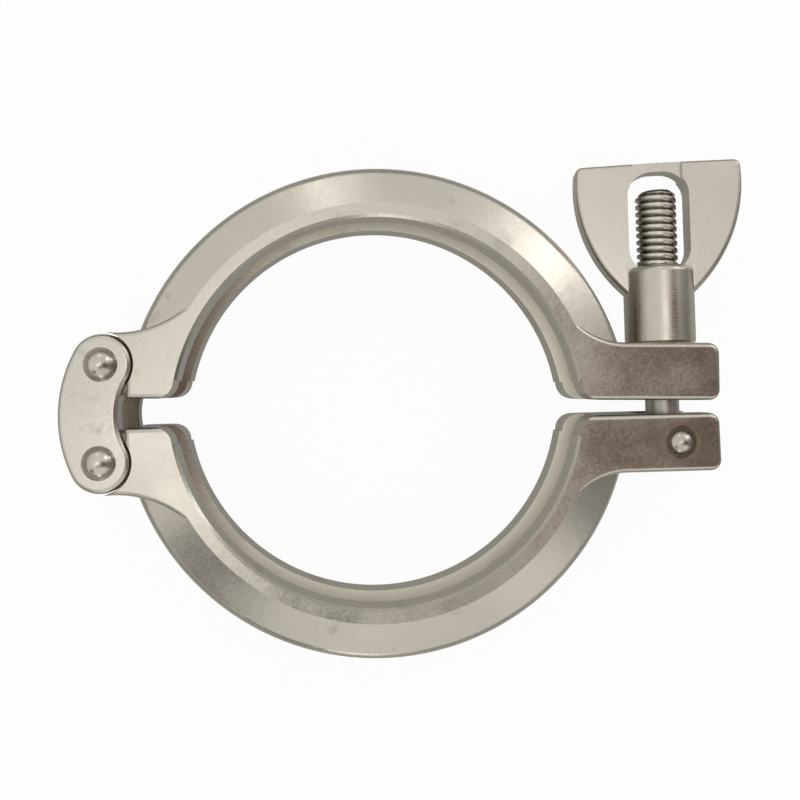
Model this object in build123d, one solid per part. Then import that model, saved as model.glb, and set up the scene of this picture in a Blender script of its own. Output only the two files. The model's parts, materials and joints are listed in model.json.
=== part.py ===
from build123d import *
import os
from math import cos, radians, sin, sqrt, tan

# Sanitary hinged clamp: two cast half rings with an inner ferrule groove, joined on the left by a
# double-pin hinge link and closed on the right by an eye bolt and a wing nut.
# The ring axis is Z.  The hinge is at -X, the ears are at +X, and the bolt points along +Y.
# The origin lies on the ring axis, halfway across the width.  All sizes are in millimetres.

# --- Half ring section -------------------------------------------------------------------------
bore_radius = 37.8        # inner edge of both lips
ring_wall = 10.1          # bore to rim
clamp_width = 17.5        # over the two lip faces
lip_band = 2.7            # flat part of each lip face, next to the bore
flank_angle = 20.0        # fall of the outer flank from the lip face towards the rim
rim_round = 2.2           # rounding between the flank and the rim
lip_round = 0.5           # rounding at the bore edge of each lip
groove_mouth = 7.6        # ferrule groove where it opens into the bore
groove_depth = 4.2        # bore to groove bottom
groove_angle = 20.0       # slope of each groove flank

# --- Where the two halves part -----------------------------------------------------------------
parting_setback = 3.85    # parting face above the centre line of its own half
parting_round = 3.4       # rounding of the inner corners at the parting faces
edge_round = 0.9          # rounding of the cast edges of ears and hinge lugs
upper_drop = 1.98         # centre of the upper half below the ring axis, with no ferrule inside
lower_tilt = 1.7          # turn of the lower half about the ring axis direction, degrees

# --- Ears --------------------------------------------------------------------------------------
ear_reach = 63.3          # centre of the half to the end of its ear
ear_height = 10.65        # parting face to the back of the ear
ear_scoop = 13.0          # concave curve from the back of the ear to the lip band
ear_corner = 2.0          # corners at the end of each ear

# --- Hinge -------------------------------------------------------------------------------------
hinge_reach = 51.1        # centre of the half to its hinge pin, along X
hinge_rise = 10.1         # centre of the half to its hinge pin, along Y
link_pitch = 18.1         # between the two hinge pins
link_lobe = 5.7           # radius of the link plate round each pin
link_bulge = 7.9          # outer edge of the link plate from the pin line
link_waist = 3.3          # inner edge of the link plate from the pin line
link_thickness = 3.1      # one link plate
link_edge_round = 1.0     # rounding of the outer edge of the link plate
tongue_radius = 5.3       # rounded end of the lug
tongue_side_gap = 0.15    # lug to link plate, each side
lug_relief = 6.1          # clearance radius of the lug shoulder round the pin
lug_corner = 4.8          # shoulder corner from the pin line
lug_scoop = 20.0          # concave curve from the lug to the lip band
hinge_shank = 2.5         # radius of the hinge rivet shank
hinge_head = 3.2          # radius of the hinge rivet head
hinge_dome = 2.0          # height of the hinge rivet head

# --- Eye bolt and its pin ----------------------------------------------------------------------
pin_inset = 7.1           # bolt pin to the end of its ear
bolt_lean = 1.0           # lean of the bolt towards the ring, degrees
bolt_radius = 3.97        # major radius of the thread
bolt_length = 48.6        # pin to the end of the bolt
bolt_chamfer = 0.8
eye_radius = 5.6
eye_thickness = 8.1
slot_side_gap = 0.3       # eye to fork, each side
slot_end_gap = 0.6        # bolt or eye to the closed end of its slot
slot_corner = 0.5         # rounding of the closed end of each slot
pin_shank = 2.1           # radius of the bolt pin
pin_head = 2.35
pin_dome = 1.35
pin_seat = 3.15           # radius of the recess round the pin head
pin_seat_depth = 0.7

# --- Wing nut ----------------------------------------------------------------------------------
nut_seat_gap = 0.1        # nut above the back of the upper ear
hub_radius = 6.45
hub_height = 15.0
hub_top_round = 1.3
hub_foot_chamfer = 0.4
wing_turn = 9.0           # turn of the wings about the bolt, degrees
wing_span = 31.0
wing_top = 35.6           # foot of the hub to the top of the wings
wing_root = 9.4           # foot of the hub to where the wings leave it
wing_thickness = 4.7
wing_edge_round = 0.9
wing_corner = 1.4
window_width = 11.4
window_foot = 13.8
window_head = 33.8
window_round = 4.8
bridge_recess = 0.8       # bridge over the window below each wing face
bridge_width = 9.2

# --- Fits --------------------------------------------------------------------------------------
fixed_fit = 0.02          # rivet in a link plate or a fork, radial
running_fit = 0.05        # rivet in a lug or an eye, bolt in the nut, radial

# --- Values that follow ------------------------------------------------------------------------
rim_radius = bore_radius + ring_wall
band_radius = bore_radius + lip_band
half_width = clamp_width / 2
slot_width = eye_thickness + 2 * slot_side_gap
ear_back = parting_setback + ear_height
ear_middle = parting_setback + ear_height / 2
bolt_reach = ear_reach - pin_inset
link_outer_face = half_width            # the link plates lie flush with the lip faces
link_inner_face = link_outer_face - link_thickness
tongue_thickness = 2 * (link_inner_face - tongue_side_gap)
past = 5.0                # how far a cutting tool runs past what it cuts

half_hinge = Vector(-hinge_reach, hinge_rise)
upper_place = Location((0, -upper_drop, 0))
upper_pin = Vector(-hinge_reach, hinge_rise - upper_drop)
lower_pin = upper_pin - Vector(0, link_pitch)
lower_centre = lower_pin - Vector(-hinge_reach, -hinge_rise).rotate(Axis.Z, lower_tilt)
lower_place = Location((lower_centre.X, lower_centre.Y, 0), (0, 0, lower_tilt))
bolt_pin_place = lower_centre + Vector(bolt_reach, -ear_middle).rotate(Axis.Z, lower_tilt)
bolt_place = Location((bolt_pin_place.X, bolt_pin_place.Y, 0), (0, 0, bolt_lean))
seat_rise = ear_back - upper_drop + nut_seat_gap - bolt_pin_place.Y
nut_foot = (seat_rise + hub_radius * sin(radians(bolt_lean))) / cos(radians(bolt_lean))
bolt_at_upper_ear = bolt_pin_place.X - seat_rise * tan(radians(bolt_lean))


def across(sketch, thickness):
    """Extrude a sketch in the XY plane evenly to both sides of it."""
    return extrude(sketch, amount=thickness / 2, both=True)


def round_disc(radius, thickness, centre):
    return Location((centre.X, centre.Y, 0)) * Cylinder(radius, thickness)


def soft_edges(solid, thickness, radius):
    """Round the outline edges of a plate on both of its flat faces."""
    rims = solid.edges().filter_by_position(Axis.Z, thickness / 2 - 0.01, thickness / 2 + 0.01)
    rims += solid.edges().filter_by_position(Axis.Z, -thickness / 2 - 0.01, -thickness / 2 + 0.01)
    return fillet(rims, radius)


def half_ring_body():
    """Upper half of the ring: a band with a flat lip, a falling flank and a rounded rim."""
    rim_half = half_width - (ring_wall - lip_band) * tan(radians(flank_angle))
    core_radius = bore_radius - lip_round
    section = Polyline(
        (core_radius, -half_width),
        (band_radius, -half_width),
        (rim_radius, -rim_half),
        (rim_radius, rim_half),
        (band_radius, half_width),
        (core_radius, half_width),
        close=True,
    )
    face = make_face(Plane.XZ * section)
    rim_corners = face.vertices().filter_by(lambda v: v.X > rim_radius - 0.01)
    face = fillet(rim_corners, rim_round)
    ring = revolve(face, Axis.Z, 360)
    keep = Box(3 * rim_radius, 2 * rim_radius, 2 * clamp_width, align=(Align.CENTER, Align.MIN, Align.CENTER))
    return ring & (Pos(0, parting_setback + edge_round + 1, 0) * keep)


def bore_tool():
    """What is cut out inside the ring: the bore with eased edges, and the ferrule groove."""
    reach = half_width + past
    bore = make_face(Plane.XZ * Polyline(
        (0, -reach),
        (bore_radius + past, -reach),
        (bore_radius + lip_round, -half_width),
        (bore_radius, -half_width + lip_round),
        (bore_radius, half_width - lip_round),
        (bore_radius + lip_round, half_width),
        (bore_radius + past, reach),
        (0, reach),
        close=True,
    ))
    mouth = groove_mouth / 2
    floor = mouth - groove_depth * tan(radians(groove_angle))
    groove = make_face(Plane.XZ * Polyline(
        (bore_radius - 1, -mouth),
        (bore_radius, -mouth),
        (bore_radius + groove_depth, -floor),
        (bore_radius + groove_depth, floor),
        (bore_radius, mouth),
        (bore_radius - 1, mouth),
        close=True,
    ))
    return revolve(bore, Axis.Z, 360) + revolve(groove, Axis.Z, 360)


def ear_block():
    """Full-width ear whose back runs in a concave curve into the lip band."""
    scoop_y = ear_back + ear_scoop
    scoop_x = sqrt((band_radius + ear_scoop) ** 2 - scoop_y ** 2)
    share = band_radius / (band_radius + ear_scoop)
    band_point = Vector(scoop_x * share, scoop_y * share)
    towards_middle = Vector(-1, -1).normalized() * ear_scoop
    middle = Vector(scoop_x, scoop_y) + towards_middle
    inner = Vector(bore_radius - 2, parting_setback)
    outline = [
        Line((inner.X, inner.Y), (ear_reach, parting_setback)),
        Line((ear_reach, parting_setback), (ear_reach, ear_back)),
        Line((ear_reach, ear_back), (scoop_x, ear_back)),
        ThreePointArc((scoop_x, ear_back), (middle.X, middle.Y), (band_point.X, band_point.Y)),
        Line((band_point.X, band_point.Y), (band_point.X - 2.5, band_point.Y - 1)),
        Line((band_point.X - 2.5, band_point.Y - 1), (inner.X, inner.Y)),
    ]
    face = make_face(outline)
    face = fillet(face.vertices().filter_by(lambda v: v.X > ear_reach - 0.01), ear_corner)
    return soft_edges(across(face, clamp_width), clamp_width, edge_round)


def lug_block():
    """Full-width hinge lug whose back runs in a concave curve from the pin to the lip band."""
    pin_distance = half_hinge.length
    from_axis = band_radius + lug_scoop
    from_pin = lug_relief + lug_scoop
    along = (from_axis ** 2 - from_pin ** 2 + pin_distance ** 2) / (2 * pin_distance)
    aside = sqrt(from_axis ** 2 - along ** 2)
    unit = half_hinge.normalized()
    scoop = unit * along + Vector(unit.Y, -unit.X) * aside
    band_point = scoop * (band_radius / from_axis)
    pin_point = half_hinge + (scoop - half_hinge) * (lug_relief / from_pin)
    middle = scoop + ((band_point + pin_point) / 2 - scoop).normalized() * lug_scoop
    inner = Vector(-(bore_radius - 2), parting_setback)
    corner_x = lug_corner - hinge_reach
    outline = [
        Line((inner.X, inner.Y), (corner_x, parting_setback)),
        Line((corner_x, parting_setback), (corner_x, hinge_rise)),
        Line((corner_x, hinge_rise), (pin_point.X, pin_point.Y)),
        ThreePointArc((pin_point.X, pin_point.Y), (middle.X, middle.Y), (band_point.X, band_point.Y)),
        Line((band_point.X, band_point.Y), (band_point.X + 2.5, band_point.Y - 1)),
        Line((band_point.X + 2.5, band_point.Y - 1), (inner.X, inner.Y)),
    ]
    return soft_edges(across(make_face(outline), clamp_width), clamp_width, edge_round)


def corner_tool(side):
    """Rounds the inner corner at a parting face, on the side given as +1 or -1."""
    corner_x = sqrt(bore_radius ** 2 - parting_setback ** 2)
    size = parting_round
    square = Pos(corner_x + size / 2, parting_setback + size / 2) * Rectangle(size, size)
    inside = Pos(corner_x - size / 2, parting_setback) * Rectangle(size, 2 * size)
    disc = Pos(corner_x + size, parting_setback + size) * Circle(size)
    tool = across(square + inside - disc, 2 * clamp_width)
    return tool if side > 0 else mirror(tool, Plane.YZ)


def hinge_tongue():
    """Lug between the two link plates, round about the pin."""
    root = lug_relief + 2
    bar = Pos(-hinge_reach + root / 2, hinge_rise) * Rectangle(root, 2 * tongue_radius)
    end = Pos(-hinge_reach, hinge_rise) * Circle(tongue_radius)
    return across(bar + end, tongue_thickness)


def half_casting(slot_start):
    """One half of the clamp in its own frame, with an ear slot that starts at slot_start."""
    casting = half_ring_body() + ear_block() + lug_block()
    casting -= bore_tool()
    casting -= corner_tool(1)
    casting -= corner_tool(-1)
    casting -= round_disc(lug_relief, 2 * clamp_width, half_hinge)
    behind_pin = Pos(-hinge_reach + lug_corner, hinge_rise, 0) * Box(
        2 * rim_radius, 2 * hinge_rise, 2 * clamp_width, align=(Align.MAX, Align.MAX, Align.CENTER))
    casting -= behind_pin
    casting += hinge_tongue()
    casting -= round_disc(hinge_shank + running_fit, 2 * clamp_width, half_hinge)
    slot_length = ear_reach + past - slot_start
    slot = Pos(slot_start, ear_middle, 0) * Box(
        slot_length, ear_height + 2 * past, slot_width, align=(Align.MIN, Align.CENTER, Align.CENTER))
    end_corners = slot.edges().filter_by(Axis.Y).filter_by(lambda e: e.center().X < slot_start + 0.01)
    return casting - fillet(end_corners, slot_corner)


def upper_half():
    slot_start = bolt_at_upper_ear - bolt_radius - slot_end_gap
    return upper_place * half_casting(slot_start)


def lower_half():
    """The other half: mirrored, with a fork for the eye and a recessed seat for each pin head."""
    half = mirror(half_casting(bolt_reach - eye_radius - slot_end_gap), Plane.XZ)
    pin_at = Vector(bolt_reach, -ear_middle)
    half -= round_disc(pin_shank + fixed_fit, 2 * clamp_width, pin_at)
    for face_z in (half_width, -half_width):
        half -= Pos(pin_at.X, pin_at.Y, face_z) * Cylinder(pin_seat, 2 * pin_seat_depth)
    return lower_place * half


def domed_rivet(shank, head, dome, seat_half):
    """Rivet along Z with a spherical dome on each end, its heads seated at +-seat_half."""
    ball = (head ** 2 + dome ** 2) / (2 * dome)
    ball_centre = seat_half + dome - ball
    head_edge = Vector(head, seat_half)
    crown = Vector(0, seat_half + dome)
    between = Vector(head / 2, ball_centre + sqrt(ball ** 2 - head ** 2 / 4))
    half_outline = [
        Line((0, 0), (shank, 0)),
        Line((shank, 0), (shank, seat_half)),
        Line((shank, seat_half), (head_edge.X, head_edge.Y)),
        ThreePointArc((head_edge.X, head_edge.Y), (between.X, between.Y), (crown.X, crown.Y)),
        Line((crown.X, crown.Y), (0, 0)),
    ]
    quarter = make_face([Plane.XZ * edge for edge in half_outline])
    end = revolve(quarter, Axis.Z, 360)
    return end + mirror(end, Plane.XY)


def hinge_pin(place):
    rivet = domed_rivet(hinge_shank, hinge_head, hinge_dome, link_outer_face)
    return Pos(place.X, place.Y, 0) * rivet


def bolt_pin():
    rivet = domed_rivet(pin_shank, pin_head, pin_dome, half_width - pin_seat_depth)
    return Pos(bolt_pin_place.X, bolt_pin_place.Y, 0) * rivet


def link_plate():
    """Kidney-shaped hinge plate at Z = 0 upwards, centred between its pins."""
    half_pitch = link_pitch / 2
    lobe = Vector(0, half_pitch)
    bulge_over = link_bulge - link_lobe
    bulge_x = (half_pitch ** 2 - bulge_over ** 2) / (2 * bulge_over)
    waist_under = link_lobe - link_waist
    waist_x = (half_pitch ** 2 - waist_under ** 2) / (2 * waist_under)
    away = (lobe - Vector(bulge_x, 0)).normalized()
    outer_top = lobe + away * link_lobe
    towards = (Vector(waist_x, 0) - lobe).normalized()
    inner_top = lobe + towards * link_lobe
    crown = lobe + Vector(0, link_lobe)
    outline = [
        ThreePointArc((outer_top.X, -outer_top.Y), (-link_bulge, 0), (outer_top.X, outer_top.Y)),
        ThreePointArc((outer_top.X, outer_top.Y), (crown.X, crown.Y), (inner_top.X, inner_top.Y)),
        ThreePointArc((inner_top.X, inner_top.Y), (link_waist, 0), (inner_top.X, -inner_top.Y)),
        ThreePointArc((inner_top.X, -inner_top.Y), (crown.X, -crown.Y), (outer_top.X, -outer_top.Y)),
    ]
    plate = extrude(make_face(outline), amount=link_thickness)
    outer_rim = plate.edges().filter_by_position(Axis.Z, link_thickness - 0.01, link_thickness + 0.01)
    plate = fillet(outer_rim, link_edge_round)
    for pin_y in (half_pitch, -half_pitch):
        plate -= Pos(0, pin_y, 0) * Cylinder(hinge_shank + fixed_fit, 4 * link_thickness)
    return plate


def front_link():
    middle = (upper_pin + lower_pin) / 2
    return Pos(middle.X, middle.Y, link_inner_face) * link_plate()


def rear_link():
    return mirror(front_link(), Plane.XY)


def eye_bolt():
    """Swing bolt: a flat round eye on a straight shank with a chamfered end."""
    shank_start = eye_radius / 2
    shank = Pos(0, shank_start, 0) * Rot(-90, 0, 0) * Cylinder(
        bolt_radius, bolt_length - shank_start, align=(Align.CENTER, Align.CENTER, Align.MIN))
    tip = shank.edges().filter_by_position(Axis.Y, bolt_length - 0.01, bolt_length + 0.01)
    shank = chamfer(tip, bolt_chamfer)
    bolt = shank + Cylinder(eye_radius, eye_thickness)
    bolt -= Cylinder(pin_shank + running_fit, 2 * eye_thickness)
    return bolt_place * bolt


def nut_wings():
    """The two wings as one plate with convex outer edges, standing on Y = 0."""
    half_span = wing_span / 2
    root = Vector(hub_radius - 0.6, wing_root)
    shoulder = Vector(half_span, wing_top - 3)
    chord = shoulder - root
    bow = chord.rotate(Axis.Z, -90).normalized() * (chord.length * 0.11)
    belly = (root + shoulder) / 2 + bow
    outline = [
        Line((0, wing_root), (root.X, root.Y)),
        ThreePointArc((root.X, root.Y), (belly.X, belly.Y), (shoulder.X, shoulder.Y)),
        Line((shoulder.X, shoulder.Y), (half_span - 0.2, wing_top - 0.2)),
        Line((half_span - 0.2, wing_top - 0.2), (0, wing_top)),
        Line((0, wing_top), (0, wing_root)),
    ]
    wing = make_face(outline)
    wing = fillet(wing.vertices().filter_by(lambda v: v.X > half_span - 1 and v.Y > wing_top - 1), wing_corner)
    plate = across(wing + mirror(wing, Plane.YZ), wing_thickness)
    return soft_edges(plate, wing_thickness, wing_edge_round)


def nut_window():
    """Tall opening over the hub, and the recess that thins the bridge above it."""
    height = window_head - window_foot
    window = Pos(0, window_foot + height / 2) * RectangleRounded(window_width, height, window_round)
    tool = across(window, 2 * wing_thickness)
    bridge_top = wing_top - window_head + past
    for side in (1, -1):
        recess_z = side * (wing_thickness - bridge_recess)
        tool += Pos(0, window_head - window_round, recess_z) * Box(
            bridge_width, bridge_top + window_round, wing_thickness, align=(Align.CENTER, Align.MIN, Align.CENTER))
    return tool


def wing_nut():
    """Turned hub and cast wings in one piece, bored through for the bolt."""
    hub = Rot(-90, 0, 0) * Cylinder(hub_radius, hub_height, align=(Align.CENTER, Align.CENTER, Align.MIN))
    top = hub.edges().filter_by_position(Axis.Y, hub_height - 0.01, hub_height + 0.01)
    hub = fillet(top, hub_top_round)
    foot = hub.edges().filter_by_position(Axis.Y, -0.01, 0.01)
    hub = chamfer(foot, hub_foot_chamfer)
    wings = nut_wings() - nut_window()
    nut = hub + Rot(0, -wing_turn, 0) * wings
    nut -= Rot(-90, 0, 0) * Cylinder(bolt_radius + running_fit, 4 * hub_height)
    return bolt_place * Pos(0, nut_foot, 0) * nut


nodes = {
    "upper_half": upper_half(),
    "lower_half": lower_half(),
    "front_link": front_link(),
    "rear_link": rear_link(),
    "upper_hinge_pin": hinge_pin(upper_pin),
    "lower_hinge_pin": hinge_pin(lower_pin),
    "bolt_pin": bolt_pin(),
    "eye_bolt": eye_bolt(),
    "wing_nut": wing_nut(),
}

os.makedirs("parts", exist_ok=True)
for name, shape in nodes.items():
    export_step(shape, f"parts/{name}.step")
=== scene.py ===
import json
from math import atan, cos, pi, radians, sin

import bmesh
import bpy
import numpy as np
from mathutils import Matrix, Vector


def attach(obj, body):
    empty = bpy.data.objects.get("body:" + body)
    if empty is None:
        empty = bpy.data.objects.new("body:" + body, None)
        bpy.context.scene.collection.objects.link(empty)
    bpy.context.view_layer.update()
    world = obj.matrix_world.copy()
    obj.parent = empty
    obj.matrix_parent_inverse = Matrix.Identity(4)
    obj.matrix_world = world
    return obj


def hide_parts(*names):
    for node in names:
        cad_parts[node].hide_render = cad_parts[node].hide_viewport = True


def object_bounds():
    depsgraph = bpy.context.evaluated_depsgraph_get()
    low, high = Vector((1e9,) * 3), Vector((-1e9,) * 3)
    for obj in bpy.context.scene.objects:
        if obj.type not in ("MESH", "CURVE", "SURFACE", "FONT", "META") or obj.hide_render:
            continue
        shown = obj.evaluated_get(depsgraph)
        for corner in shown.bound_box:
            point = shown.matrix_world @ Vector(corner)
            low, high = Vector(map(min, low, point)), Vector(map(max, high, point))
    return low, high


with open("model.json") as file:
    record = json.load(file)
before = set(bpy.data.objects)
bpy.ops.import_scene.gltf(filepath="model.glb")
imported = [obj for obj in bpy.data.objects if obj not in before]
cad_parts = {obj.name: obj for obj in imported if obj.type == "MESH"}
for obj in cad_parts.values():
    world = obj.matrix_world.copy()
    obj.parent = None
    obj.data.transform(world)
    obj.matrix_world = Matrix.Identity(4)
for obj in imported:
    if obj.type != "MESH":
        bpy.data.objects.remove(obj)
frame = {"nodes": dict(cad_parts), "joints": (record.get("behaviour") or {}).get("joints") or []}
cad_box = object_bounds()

MM = 0.001

# --- The bolt as it is drawn over the plain solid, in metres --------------------------------------
THREAD_MAJOR = 3.74 * MM       # radius over the crests
THREAD_MINOR = 3.12 * MM       # radius in the roots
THREAD_PITCH = 1.411 * MM
THREAD_LENGTH = 33.0 * MM      # from the tip down
THREAD_CHAMFER = 0.95 * MM     # how far the crest is cut back at the tip
ROOT_FLAT = 0.12               # share of the pitch that is flat in the root
FLANKS = 0.48                  # share of the pitch that the two flanks take
THREAD_AROUND = 96             # grid steps round the bolt
THREAD_PER_PITCH = 14          # grid steps along one pitch
THREAD_SHARP = 50              # thread edges that turn by more degrees than this stay crisp
SHANK_RADIUS = 3.08 * MM       # plain shank between the eye and the thread
SHANK_CONE = 0.9 * MM          # rise and reach of the cone between the shank and the neck of the eye
SHANK_AROUND = 72              # grid steps round the shank
NECK_RISE = 4.2 * MM           # pin to where the cone leaves the neck of the eye
SHARP = 32                     # other edges that turn by more degrees than this stay crisp
WELD = 1e-6                    # corners closer than this are one

# --- Where painted shade lies on a casting and where the nut's finish changes, in metres ----------
HALF_CENTRES = {"upper_half": (0, -1.98 * MM, 0), "lower_half": (-0.32 * MM, 1.63 * MM, 0)}
GROOVE_FLOOR = 42.2 * MM       # radius of the groove bottom round the centre of its half
GROOVE_FADE = 0.4 * MM         # how far past the bottom the groove's painted shade fades out
GROOVE_HALF = 3.0 * MM         # the painted shade is full up to here from the middle of the width
MOUTH_FADE = 1.2 * MM          # and fades out over this, round the groove's mouth
SEAT_RADIUS = 3.1 * MM         # recess round each head of the bolt pin, which takes painted shade
SEAT_FADE = 0.2 * MM
SEAT_FLOOR = 8.1 * MM          # middle of the width to the floor of that recess
SEAT_RISE = 0.35 * MM          # floor to where the recess's painted shade ends
HUB_HEIGHT = 15.0 * MM         # foot of the nut to the top of its hub
HUB_RADIUS = 6.45 * MM         # just outside the hub
HUB_FADE = 0.2 * MM
HUB_TOP_FADE = 0.3 * MM

# --- Tones of the steel and of painted shade, as linear colours -----------------------------------
CAST_DARK = (0.43, 0.405, 0.35)
CAST_LIGHT = (0.63, 0.595, 0.53)
# painted shade in the groove of each half
GROOVE_SHADE_TONE = (0.40, 0.37, 0.305)
# painted shade in the recess round each head of the bolt pin
SEAT_SHADE_TONE = (0.32, 0.29, 0.225)
LINK_DARK = (0.43, 0.405, 0.355)
LINK_LIGHT = (0.64, 0.605, 0.545)
RIVET_DARK = (0.44, 0.415, 0.36)
RIVET_LIGHT = (0.56, 0.535, 0.475)
WING_DARK = (0.45, 0.425, 0.375)
WING_LIGHT = (0.64, 0.605, 0.545)
HUB_TONE = (0.53, 0.50, 0.435)
CREST_TONE = (0.60, 0.57, 0.51)
# painted shade in the thread's roots
ROOT_SHADE_TONE = (0.13, 0.12, 0.10)
SHANK_DARK = (0.40, 0.38, 0.34)
SHANK_LIGHT = (0.52, 0.49, 0.45)

# --- Patterns in the steel: noise scales per metre, heights in metres -----------------------------
CLOUD_SCALE = 90.0             # soft clouds in the tone
STAIN_SCALE = 105.0            # sparse dark stains
TURNED_STAIN_SCALE = 220.0
RIVET_CLOUD_SCALE = 260.0
RIVET_SCUFF_SCALE = 900.0
PIT_SCALE = 0.32               # scale of the wide pits, as a share of the grain's
GRAIN_SHARE = 0.35             # share of the grain in the height; the rest is pits
STAIN_EDGE = 0.60              # stain noise below this leaves the steel plain
STAIN_CORE = 0.74              # stain noise above this stains it fully
PLAIN_LEVEL = 0.55             # place of plain steel between the dark and the light tone
STAINED_LEVEL = -0.05
DIMPLE = 0.12 * MM             # depth of the cast grain
TOOL_MARK = 0.05 * MM          # depth of the rings on turned steel
SCUFF = 0.06 * MM              # depth of the scuffs on a rivet head

JOINTS = {joint["name"]: joint for joint in frame["joints"]}
BOLT_PIN = Vector(JOINTS["bolt_swing"]["pos_m"])
BOLT_AXIS = Vector(JOINTS["nut_travel"]["axis"]).normalized()
BOLT_LEAN = atan(-BOLT_AXIS.x / BOLT_AXIS.y)


# --- Shader helpers -------------------------------------------------------------------------------

def new_material(name):
    """A material with nodes, its node tree and its Principled shader."""
    material = bpy.data.materials.new(name)
    material.use_nodes = True
    tree = material.node_tree
    return material, tree, tree.nodes["Principled BSDF"]


def new_steel(name):
    """The same, with the shader set to metal."""
    material, tree, shader = new_material(name)
    shader.inputs["Metallic"].default_value = 1.0
    return material, tree, shader


def add(tree, kind, **settings):
    """A new node with its settings."""
    node = tree.nodes.new(kind)
    for key, value in settings.items():
        setattr(node, key, value)
    return node


def feed(tree, socket, value):
    """Give a socket its value: a number, a colour of three parts, or the output of another node."""
    if isinstance(value, bpy.types.NodeSocket):
        tree.links.new(value, socket)
    elif isinstance(value, tuple):
        socket.default_value = (*value, 1)
    else:
        socket.default_value = value


def ranged(tree, source, low, high, out_low, out_high):
    """A value mapped smoothly from low..high to out_low..out_high, and held beyond them."""
    node = add(tree, "ShaderNodeMapRange", interpolation_type="SMOOTHSTEP")
    tree.links.new(source, node.inputs["Value"])
    node.inputs["From Min"].default_value = low
    node.inputs["From Max"].default_value = high
    node.inputs["To Min"].default_value = out_low
    node.inputs["To Max"].default_value = out_high
    return node.outputs["Result"]


def spread(tree, source, out_low, out_high):
    """The span in which most of a noise lies, mapped to out_low..out_high."""
    return ranged(tree, source, 0.3, 0.7, out_low, out_high)


def calc(tree, operation, *values):
    """Result of a Math node on one or two numbers or outputs."""
    node = add(tree, "ShaderNodeMath", operation=operation)
    for socket, value in zip(node.inputs, values):
        feed(tree, socket, value)
    return node.outputs[0]


def length(tree, first, second):
    """Length of a flat vector given by its two parts."""
    squares = calc(tree, "ADD", calc(tree, "MULTIPLY", first, first), calc(tree, "MULTIPLY", second, second))
    return calc(tree, "SQRT", squares)


def blend_colour(tree, factor, first, second):
    """Mix of two colours, from the first at factor 0 to the second at factor 1."""
    node = add(tree, "ShaderNodeMix", data_type="RGBA")
    tree.links.new(factor, node.inputs["Factor"])
    feed(tree, node.inputs["A"], first)
    feed(tree, node.inputs["B"], second)
    return node.outputs["Result"]


def noise(tree, vector, scale, detail, rough=0.5):
    """Height of a noise texture."""
    node = add(tree, "ShaderNodeTexNoise")
    tree.links.new(vector, node.inputs["Vector"])
    feed(tree, node.inputs["Scale"], scale)
    node.inputs["Detail"].default_value = detail
    node.inputs["Roughness"].default_value = rough
    return node.outputs["Fac"]


def bump(tree, height, strength, depth):
    """Normal of a surface that a height from 0 to 1 lifts by a depth."""
    node = add(tree, "ShaderNodeBump")
    node.inputs["Strength"].default_value = strength
    node.inputs["Distance"].default_value = depth
    tree.links.new(height, node.inputs["Height"])
    return node.outputs["Normal"]


def object_vector(tree):
    """Place on the piece, in its own frame."""
    return add(tree, "ShaderNodeTexCoord").outputs["Object"]


def placed_vector(tree, centre, turn=0.0):
    """The same, measured from a centre in a frame turned about Z."""
    place = add(tree, "ShaderNodeMapping", vector_type="TEXTURE")
    tree.links.new(object_vector(tree), place.inputs["Vector"])
    place.inputs["Location"].default_value = centre
    place.inputs["Rotation"].default_value = (0, 0, turn)
    return place.outputs["Vector"]


def along_bolt(tree):
    """Place measured from the bolt pin, with Y along the bolt."""
    return placed_vector(tree, BOLT_PIN, BOLT_LEAN)


def split_vector(tree, vector):
    """The three parts of a vector, named X, Y and Z."""
    node = add(tree, "ShaderNodeSeparateXYZ")
    tree.links.new(vector, node.inputs[0])
    return node.outputs


# --- Shared effects as node groups ----------------------------------------------------------------

def open_group(name, inputs, outputs):
    """A node group with its sockets, its input node and its output node."""
    group = bpy.data.node_groups.new(name, "ShaderNodeTree")
    group.interface.new_socket("Vector", in_out="INPUT", socket_type="NodeSocketVector")
    for label, value in inputs:
        socket = group.interface.new_socket(label, in_out="INPUT", socket_type="NodeSocketFloat")
        socket.default_value = value
    for label in outputs:
        group.interface.new_socket(label, in_out="OUTPUT", socket_type="NodeSocketFloat")
    return group, group.nodes.new("NodeGroupInput").outputs, group.nodes.new("NodeGroupOutput").inputs


def tumbled_group():
    """Tumbled cast steel: fine grain over wider pits, soft clouds in its tone, and sparse dark stains."""
    group, given, result = open_group(
        "tumbled_steel",
        [("Grain Scale", 1900.0), ("Cloud Scale", CLOUD_SCALE)],
        ["Tone", "Roughness Shift", "Height"])
    vector = given["Vector"]
    grain = noise(group, vector, given["Grain Scale"], 3.0, 0.6)
    clouds = noise(group, vector, given["Cloud Scale"], 2.0)
    pits = noise(group, vector, calc(group, "MULTIPLY", given["Grain Scale"], PIT_SCALE), 1.0)
    stains = noise(group, vector, STAIN_SCALE, 3.0, 0.6)
    tone = calc(group, "ADD", spread(group, grain, -0.10, 0.10), spread(group, clouds, -0.10, 0.10))
    level = ranged(group, stains, STAIN_EDGE, STAIN_CORE, PLAIN_LEVEL, STAINED_LEVEL)
    group.links.new(calc(group, "ADD", tone, level), result["Tone"])
    cloud_shift = ranged(group, clouds, 0.25, 0.75, -0.05, 0.06)
    rough = calc(group, "ADD", cloud_shift, spread(group, grain, -0.03, 0.03))
    group.links.new(rough, result["Roughness Shift"])
    fine = calc(group, "MULTIPLY", grain, GRAIN_SHARE)
    wide = calc(group, "MULTIPLY", pits, 1 - GRAIN_SHARE)
    group.links.new(calc(group, "ADD", fine, wide), result["Height"])
    return group


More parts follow.
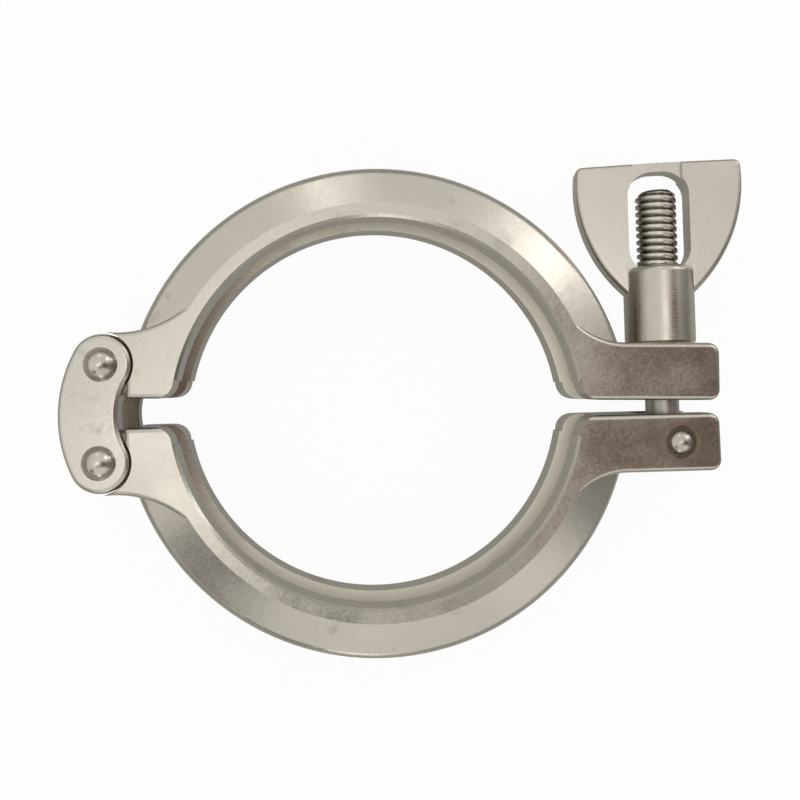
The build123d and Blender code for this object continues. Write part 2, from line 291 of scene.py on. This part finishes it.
def turned_group():
    """Turned or rolled steel: fine rings across the Vector's Y, and soft stains in its roughness."""
    group, given, result = open_group(
        "turned_steel", [("Ring Scale", 9000.0)], ["Roughness Shift", "Height"])
    row = add(group, "ShaderNodeCombineXYZ")
    group.links.new(split_vector(group, given["Vector"])["Y"], row.inputs["Y"])
    rings = noise(group, row.outputs[0], given["Ring Scale"], 2.0)
    stains = noise(group, given["Vector"], TURNED_STAIN_SCALE, 3.0)
    shift = calc(group, "ADD", spread(group, rings, -0.04, 0.05), spread(group, stains, -0.04, 0.06))
    group.links.new(shift, result["Roughness Shift"])
    group.links.new(rings, result["Height"])
    return group


TUMBLED = tumbled_group()
TURNED = turned_group()


def use_group(tree, group, vector, scale_name, scale):
    """Outputs of a shared effect at one scale."""
    node = add(tree, "ShaderNodeGroup", node_tree=group)
    tree.links.new(vector, node.inputs["Vector"])
    node.inputs[scale_name].default_value = scale
    return node.outputs


# --- Finishes -------------------------------------------------------------------------------------

def disc_mask(tree, centre, radius, radius_fade, half, half_fade):
    """1 within a radius of the Z axis through a centre and within a half thickness of it, else 0."""
    place = split_vector(tree, placed_vector(tree, centre))
    off_axis = length(tree, place["X"], place["Y"])
    off_middle = calc(tree, "ABSOLUTE", place["Z"])
    inside = ranged(tree, off_axis, radius, radius + radius_fade, 1.0, 0.0)
    between = ranged(tree, off_middle, half, half + half_fade, 1.0, 0.0)
    return calc(tree, "MULTIPLY", inside, between)


def satin_cast(name, dark, light, roughness, grain, groove_centre=None):
    """Cast steel with a tumbled satin skin; painted shade darkens the groove and the recess round the pin's
    heads.
    """
    material, tree, shader = new_steel(name)
    skin = use_group(tree, TUMBLED, object_vector(tree), "Grain Scale", grain)
    tone = blend_colour(tree, skin["Tone"], dark, light)
    if groove_centre is not None:
        # Painted shade: the groove and the recess round the bolt pin's heads are darkened in the base
        # colour.
        groove = disc_mask(tree, groove_centre, GROOVE_FLOOR, GROOVE_FADE, GROOVE_HALF, MOUTH_FADE)
        seat = disc_mask(tree, BOLT_PIN, SEAT_RADIUS, SEAT_FADE, SEAT_FLOOR, SEAT_RISE)
        tone = blend_colour(tree, groove, tone, GROOVE_SHADE_TONE)
        tone = blend_colour(tree, seat, tone, SEAT_SHADE_TONE)
    tree.links.new(tone, shader.inputs["Base Color"])
    tree.links.new(calc(tree, "ADD", skin["Roughness Shift"], roughness), shader.inputs["Roughness"])
    tree.links.new(bump(tree, skin["Height"], 0.22, DIMPLE), shader.inputs["Normal"])
    return material


def rivet_skin(name):
    """Bright, lightly polished rivet heads with faint scuffs."""
    material, tree, shader = new_steel(name)
    vector = object_vector(tree)
    scuffs = noise(tree, vector, RIVET_SCUFF_SCALE, 4.0, 0.7)
    clouds = noise(tree, vector, RIVET_CLOUD_SCALE, 2.0)
    tone = blend_colour(tree, spread(tree, clouds, 0.0, 1.0), RIVET_DARK, RIVET_LIGHT)
    tree.links.new(tone, shader.inputs["Base Color"])
    tree.links.new(ranged(tree, scuffs, 0.3, 0.75, 0.17, 0.27), shader.inputs["Roughness"])
    tree.links.new(bump(tree, scuffs, 0.08, SCUFF), shader.inputs["Normal"])
    return material


def nut_skin(name, hub_top):
    """Satin cast wings on a smoother turned hub, told apart by the place along and off the bolt."""
    material, tree, shader = new_steel(name)
    vector = along_bolt(tree)
    cast = use_group(tree, TUMBLED, object_vector(tree), "Grain Scale", 1800.0)
    turned = use_group(tree, TURNED, vector, "Ring Scale", 3600.0)
    place = split_vector(tree, vector)
    off_axis = length(tree, place["X"], place["Z"])
    inside = ranged(tree, off_axis, HUB_RADIUS, HUB_RADIUS + HUB_FADE, 1.0, 0.0)
    below = ranged(tree, place["Y"], hub_top, hub_top + HUB_TOP_FADE, 1.0, 0.0)
    hub = calc(tree, "MULTIPLY", inside, below)
    wings = blend_colour(tree, cast["Tone"], WING_DARK, WING_LIGHT)
    tree.links.new(blend_colour(tree, hub, wings, HUB_TONE), shader.inputs["Base Color"])
    wing_rough = calc(tree, "ADD", cast["Roughness Shift"], 0.28)
    hub_rough = calc(tree, "ADD", turned["Roughness Shift"], 0.24)
    step = calc(tree, "MULTIPLY", calc(tree, "SUBTRACT", hub_rough, wing_rough), hub)
    tree.links.new(calc(tree, "ADD", wing_rough, step), shader.inputs["Roughness"])
    height = calc(tree, "MULTIPLY", cast["Height"], calc(tree, "SUBTRACT", 1.0, hub))
    tree.links.new(bump(tree, height, 0.2, DIMPLE), shader.inputs["Normal"])
    return material


def rolled_bolt(name):
    """Bright rolled steel of the thread, with painted shade darkening its roots."""
    material, tree, shader = new_steel(name)
    vector = along_bolt(tree)
    skin = use_group(tree, TURNED, vector, "Ring Scale", 5200.0)
    place = split_vector(tree, vector)
    off_axis = length(tree, place["X"], place["Z"])
    # Painted shade: the colour goes from the dark root tone in the roots to the crest tone by 0.4 of the
    # depth.
    root_shade_end = THREAD_MINOR + 0.4 * (THREAD_MAJOR - THREAD_MINOR)
    out_of_root_shade = ranged(tree, off_axis, THREAD_MINOR, root_shade_end, 0.0, 1.0)
    tree.links.new(blend_colour(tree, out_of_root_shade, ROOT_SHADE_TONE, CREST_TONE), shader.inputs["Base Color"])
    tree.links.new(calc(tree, "ADD", skin["Roughness Shift"], 0.27), shader.inputs["Roughness"])
    tree.links.new(bump(tree, skin["Height"], 0.12, TOOL_MARK), shader.inputs["Normal"])
    return material


def plain_shank(name):
    """Drawn steel of the plain shank and the eye."""
    material, tree, shader = new_steel(name)
    skin = use_group(tree, TURNED, along_bolt(tree), "Ring Scale", 3000.0)
    tone = blend_colour(tree, spread(tree, skin["Height"], 0.0, 1.0), SHANK_DARK, SHANK_LIGHT)
    tree.links.new(tone, shader.inputs["Base Color"])
    tree.links.new(calc(tree, "ADD", skin["Roughness Shift"], 0.30), shader.inputs["Roughness"])
    return material


# --- Meshes ---------------------------------------------------------------------------------------

def around_y(radius, height, turn):
    """Points of a surface round Y: x = radius cos(turn), y = height, z = radius sin(turn)."""
    radius, height, turn = np.broadcast_arrays(radius, height, turn)
    return np.stack([radius * np.cos(turn), height, radius * np.sin(turn)], axis=-1).reshape(-1, 3).tolist()


def ring_faces(rows, around):
    """Quads between the neighbouring rings of such a surface, facing outwards."""
    row = np.arange(rows - 1)[:, None] * around
    column = np.arange(around)[None, :]
    after = (column + 1) % around
    corners = [row + column, row + around + column, row + around + after, row + after]
    return np.stack(corners, axis=-1).reshape(-1, 4).tolist()


def thread_mesh(start, end):
    """Thread between two heights along the bolt: radius = root + depth * form.  The form is a trapezium
    of the phase, with flanks about 57 degrees apart.  The phase is the height in pitches less the turn
    in rounds, which makes a left-hand thread.  A cone caps the radius at the tip, and both ends close
    on the axis."""
    rows = int((end - start) / THREAD_PITCH * THREAD_PER_PITCH)
    height = np.linspace(start, end, rows)[:, None]
    turn = np.linspace(0, 2 * pi, THREAD_AROUND, endpoint=False)[None, :]
    phase = np.mod(height / THREAD_PITCH - turn / (2 * pi), 1.0)
    from_root = np.abs(phase - 0.5) * 2
    form = np.clip((from_root - ROOT_FLAT) / FLANKS, 0, 1)
    cone = THREAD_MAJOR - THREAD_CHAMFER + (end - height)
    radius = np.minimum(THREAD_MINOR + (THREAD_MAJOR - THREAD_MINOR) * form, cone)
    foot_middle = rows * THREAD_AROUND
    tip_middle = foot_middle + 1
    ring = np.arange(THREAD_AROUND)
    after = np.roll(ring, -1)
    top = (rows - 1) * THREAD_AROUND
    foot = np.stack([np.full_like(ring, foot_middle), ring, after], axis=-1).tolist()
    tip = np.stack([np.full_like(ring, tip_middle), top + after, top + ring], axis=-1).tolist()
    points = around_y(radius, height, turn) + [[0, start, 0], [0, end, 0]]
    faces = ring_faces(rows, THREAD_AROUND) + foot + tip
    mesh = bpy.data.meshes.new("bolt_thread")
    mesh.from_pydata(points, [], faces)
    return mesh


def shank_mesh(end):
    """Shank up to a height: a cone off the neck of the eye and a cylinder, turned round Y and closed."""
    profile = np.array([
        (NECK_RISE, SHANK_RADIUS + SHANK_CONE),
        (NECK_RISE + SHANK_CONE, SHANK_RADIUS),
        (end, SHANK_RADIUS),
    ])
    turn = np.linspace(0, 2 * pi, SHANK_AROUND, endpoint=False)[None, :]
    top = (len(profile) - 1) * SHANK_AROUND
    foot_cap = list(range(SHANK_AROUND))
    top_cap = list(range(top + SHANK_AROUND - 1, top - 1, -1))
    mesh = bpy.data.meshes.new("bolt_shank")
    points = around_y(profile[:, 1:], profile[:, :1], turn)
    mesh.from_pydata(points, [], ring_faces(len(profile), SHANK_AROUND) + [foot_cap, top_cap])
    return mesh


def eye_mesh():
    """Welded copy of the eye bolt's mesh, cut off where the cone leaves the neck, and closed there."""
    mesh = frame["nodes"]["eye_bolt"].data.copy()
    mesh.name = "eye_bolt_skin"
    shape = bmesh.new()
    shape.from_mesh(mesh)
    bmesh.ops.remove_doubles(shape, verts=shape.verts, dist=WELD)
    parts = shape.verts[:] + shape.edges[:] + shape.faces[:]
    cut = BOLT_PIN + BOLT_AXIS * NECK_RISE
    found = bmesh.ops.bisect_plane(shape, geom=parts, plane_co=cut, plane_no=BOLT_AXIS, clear_outer=True)
    rim = [item for item in found["geom_cut"] if isinstance(item, bmesh.types.BMEdge)]
    bmesh.ops.contextual_create(shape, geom=rim)
    shape.to_mesh(mesh)
    shape.free()
    return mesh


def set_on_bolt(mesh):
    """Move a mesh made round Y onto the bolt and lean it with the bolt, in the mesh itself."""
    mesh.transform(Matrix.Translation(BOLT_PIN) @ Matrix.Rotation(BOLT_LEAN, 4, "Z"))
    mesh.update()
    return mesh


# --- Pieces ---------------------------------------------------------------------------------------

def dress(node, material):
    """Give a CAD node its finish; its own mesh and exact normals stay."""
    for slot in frame["nodes"][node].material_slots:
        slot.material = material


def bolt_piece(name, mesh, material, sharp):
    """A smooth-shaded piece of the eye bolt, shown in place of the plain solid."""
    mesh.shade_smooth()
    mesh.set_sharp_from_angle(angle=radians(sharp))
    mesh.materials.clear()
    mesh.materials.append(material)
    piece = bpy.data.objects.new(name, mesh)
    bpy.context.scene.collection.objects.link(piece)
    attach(piece, "eye_bolt")
    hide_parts("eye_bolt")
    return piece


def reach_along_bolt(node):
    """How far a node's mesh reaches along the bolt from the pin, lowest and highest."""
    corners = frame["nodes"][node].data.vertices
    spots = np.empty(len(corners) * 3)
    corners.foreach_get("co", spots)
    along = (spots.reshape(-1, 3) - np.array(BOLT_PIN)) @ np.array(BOLT_AXIS)
    return float(along.min()), float(along.max())


for node, centre in HALF_CENTRES.items():
    dress(node, satin_cast("cast_" + node, CAST_DARK, CAST_LIGHT, 0.25, 1900.0, centre))

cast_links = satin_cast("cast_links", LINK_DARK, LINK_LIGHT, 0.24, 2300.0)
for node in ("front_link", "rear_link"):
    dress(node, cast_links)

bright_rivets = rivet_skin("bright_rivets")
for node in ("upper_hinge_pin", "lower_hinge_pin", "bolt_pin"):
    dress(node, bright_rivets)

nut_foot = reach_along_bolt("wing_nut")[0]
dress("wing_nut", nut_skin("nut_steel", nut_foot + HUB_HEIGHT))

bolt_tip = reach_along_bolt("eye_bolt")[1]
thread_start = bolt_tip - THREAD_LENGTH
bolt_steel = rolled_bolt("bolt_steel")
shank_steel = plain_shank("shank_steel")
eye = bolt_piece("eye_bolt_skin", eye_mesh(), shank_steel, SHARP)
eye.modifiers.new("flat faces stay flat", "WEIGHTED_NORMAL").keep_sharp = True
bolt_piece("bolt_shank", set_on_bolt(shank_mesh(thread_start)), shank_steel, SHARP)
bolt_piece("bolt_thread", set_on_bolt(thread_mesh(thread_start, bolt_tip)), bolt_steel, THREAD_SHARP)


# --- Floor ----------------------------------------------------------------------------------------

FLOOR_HALF = 3.0               # half its side, in metres
FLOOR_GAP = 0.2 * MM           # lowest point of the clamp to the floor
FLOOR_TONE = (0.41, 0.385, 0.32)
FLOOR_ROUGHNESS = 0.7
GLOW = 1.03
CAMERA_SHARE = 0.93            # share of the glow that the camera sees, over the shaded floor
MIRROR_SHARE = 0.22            # share of it that metal mirrors


def pale_floor(level):
    """A floor that shows white to the camera with a faint shadow, and mirrors as a darker one."""
    corners = [(x * FLOOR_HALF, y * FLOOR_HALF, level) for x, y in ((-1, -1), (1, -1), (1, 1), (-1, 1))]
    mesh = bpy.data.meshes.new("floor")
    mesh.from_pydata(corners, [], [(0, 1, 2, 3)])
    material, tree, shader = new_material("floor_paint")
    feed(tree, shader.inputs["Base Color"], FLOOR_TONE)
    shader.inputs["Roughness"].default_value = FLOOR_ROUGHNESS
    glow = add(tree, "ShaderNodeEmission")
    feed(tree, glow.inputs["Color"], (1, 1, 1))
    glow.inputs["Strength"].default_value = GLOW
    path = add(tree, "ShaderNodeLightPath")
    mix = add(tree, "ShaderNodeMixShader")
    mirrored = calc(tree, "MAXIMUM", path.outputs["Is Glossy Ray"], path.outputs["Is Transmission Ray"])
    mirrored = calc(tree, "MULTIPLY", mirrored, MIRROR_SHARE)
    shown = calc(tree, "MULTIPLY", path.outputs["Is Camera Ray"], CAMERA_SHARE)
    tree.links.new(calc(tree, "MAXIMUM", shown, mirrored), mix.inputs[0])
    tree.links.new(shader.outputs[0], mix.inputs[1])
    tree.links.new(glow.outputs[0], mix.inputs[2])
    tree.links.new(mix.outputs[0], tree.nodes["Material Output"].inputs["Surface"])
    mesh.materials.append(material)
    floor = bpy.data.objects.new("floor", mesh)
    bpy.context.scene.collection.objects.link(floor)


pale_floor(cad_box[0][2] - FLOOR_GAP)


# --- Studio ---------------------------------------------------------------------------------------

# Patches of the room: azimuth, angle off the zenith and half angle, in degrees, then the strength
# that a soft box adds, or the share of the light that a dark patch leaves.
SOFT_BOXES = [
    (140, 3, 8.5, 0.80),
    (100, 56, 5, 1.4),
    (42, 58, 9, 1.7),
    (30, 76, 6, 1.8),
    (312, 58, 6, 0.3),
    (268, 77, 8, 1.4),
    (206, 15, 6, 0.95),
]
DARK_PATCHES = [
    (-11, 30, 16.5, 0.20),
    (-8, 62, 20, 0.32),
    (229, 57, 11, 0.33),
    (277, 18, 8, 0.30),
]
PATCH_CORE = 0.75              # share of the half angle in which a patch is full
PATCH_EDGE = 1.3               # share of it past which there is none
HORIZON_LIGHT = 0.22
CEILING_LIGHT = 0.97
CEILING_FROM = 0.55            # height of a direction, as a sine, from which the room is at its lightest
ROOM_TONE = (1.0, 0.985, 0.965)
WARM_TONE = (1.0, 0.66, 0.53)  # tone of the first dark patch


def direction(azimuth, off_zenith):
    """Unit vector towards a place in the room."""
    around = radians(azimuth)
    down = radians(off_zenith)
    return (cos(around) * sin(down), sin(around) * sin(down), cos(down))


def spot(tree, vector, azimuth, off_zenith, half_angle, inside, outside):
    """Value inside a soft-edged round patch of the room, and outside it."""
    dot = add(tree, "ShaderNodeVectorMath", operation="DOT_PRODUCT")
    tree.links.new(vector, dot.inputs[0])
    dot.inputs[1].default_value = direction(azimuth, off_zenith)
    edge = cos(radians(half_angle * PATCH_EDGE))
    core = cos(radians(half_angle * PATCH_CORE))
    return ranged(tree, dot.outputs["Value"], edge, core, outside, inside)


def studio_world():
    """White to the camera; a pale room with soft boxes and dark patches to everything else."""
    world = bpy.data.worlds.new("studio")
    bpy.context.scene.world = world
    world.use_nodes = True
    tree = world.node_tree
    tree.nodes.clear()
    vector = add(tree, "ShaderNodeTexCoord").outputs["Generated"]
    up = split_vector(tree, vector)["Z"]
    level = ranged(tree, up, 0.0, CEILING_FROM, HORIZON_LIGHT, CEILING_LIGHT)
    shades = [spot(tree, vector, *patch, 1.0) for patch in DARK_PATCHES]
    for shade in shades:
        level = calc(tree, "MULTIPLY", level, shade)
    for box in SOFT_BOXES:
        level = calc(tree, "ADD", level, spot(tree, vector, *box, 0.0))
    room = add(tree, "ShaderNodeBackground")
    tree.links.new(blend_colour(tree, shades[0], WARM_TONE, ROOM_TONE), room.inputs["Color"])
    tree.links.new(level, room.inputs["Strength"])
    white = add(tree, "ShaderNodeBackground")
    feed(tree, white.inputs["Color"], (1, 1, 1))
    path = add(tree, "ShaderNodeLightPath")
    mix = add(tree, "ShaderNodeMixShader")
    out = add(tree, "ShaderNodeOutputWorld")
    tree.links.new(path.outputs["Is Camera Ray"], mix.inputs[0])
    tree.links.new(room.outputs[0], mix.inputs[1])
    tree.links.new(white.outputs[0], mix.inputs[2])
    tree.links.new(mix.outputs[0], out.inputs["Surface"])


studio_world()


# --- Camera ---------------------------------------------------------------------------------------

SENSOR_WIDTH = 36              # millimetres, as the lens
LENS = 33.327
SHIFT_X = 0.0666
SHIFT_Y = -0.0548
CAMERA_PLACE = (-6.09 * MM, 3.615 * MM, 145 * MM)
CAMERA_TURN = (2.592, -0.159, 0.155)
CLIP_NEAR = 0.005
CLIP_FAR = 20


def camera():
    """Above the clamp and tipped by a few degrees, near enough that the far lip looks clearly smaller."""
    data = bpy.data.cameras.new("camera")
    data.sensor_width = SENSOR_WIDTH
    data.lens = LENS
    data.clip_start = CLIP_NEAR
    data.clip_end = CLIP_FAR
    data.shift_x = SHIFT_X
    data.shift_y = SHIFT_Y
    view = bpy.data.objects.new("camera", data)
    view.location = CAMERA_PLACE
    view.rotation_euler = [radians(angle) for angle in CAMERA_TURN]
    bpy.context.scene.collection.objects.link(view)
    bpy.context.scene.camera = view


camera()
bpy.context.scene.view_settings.view_transform = "Standard"
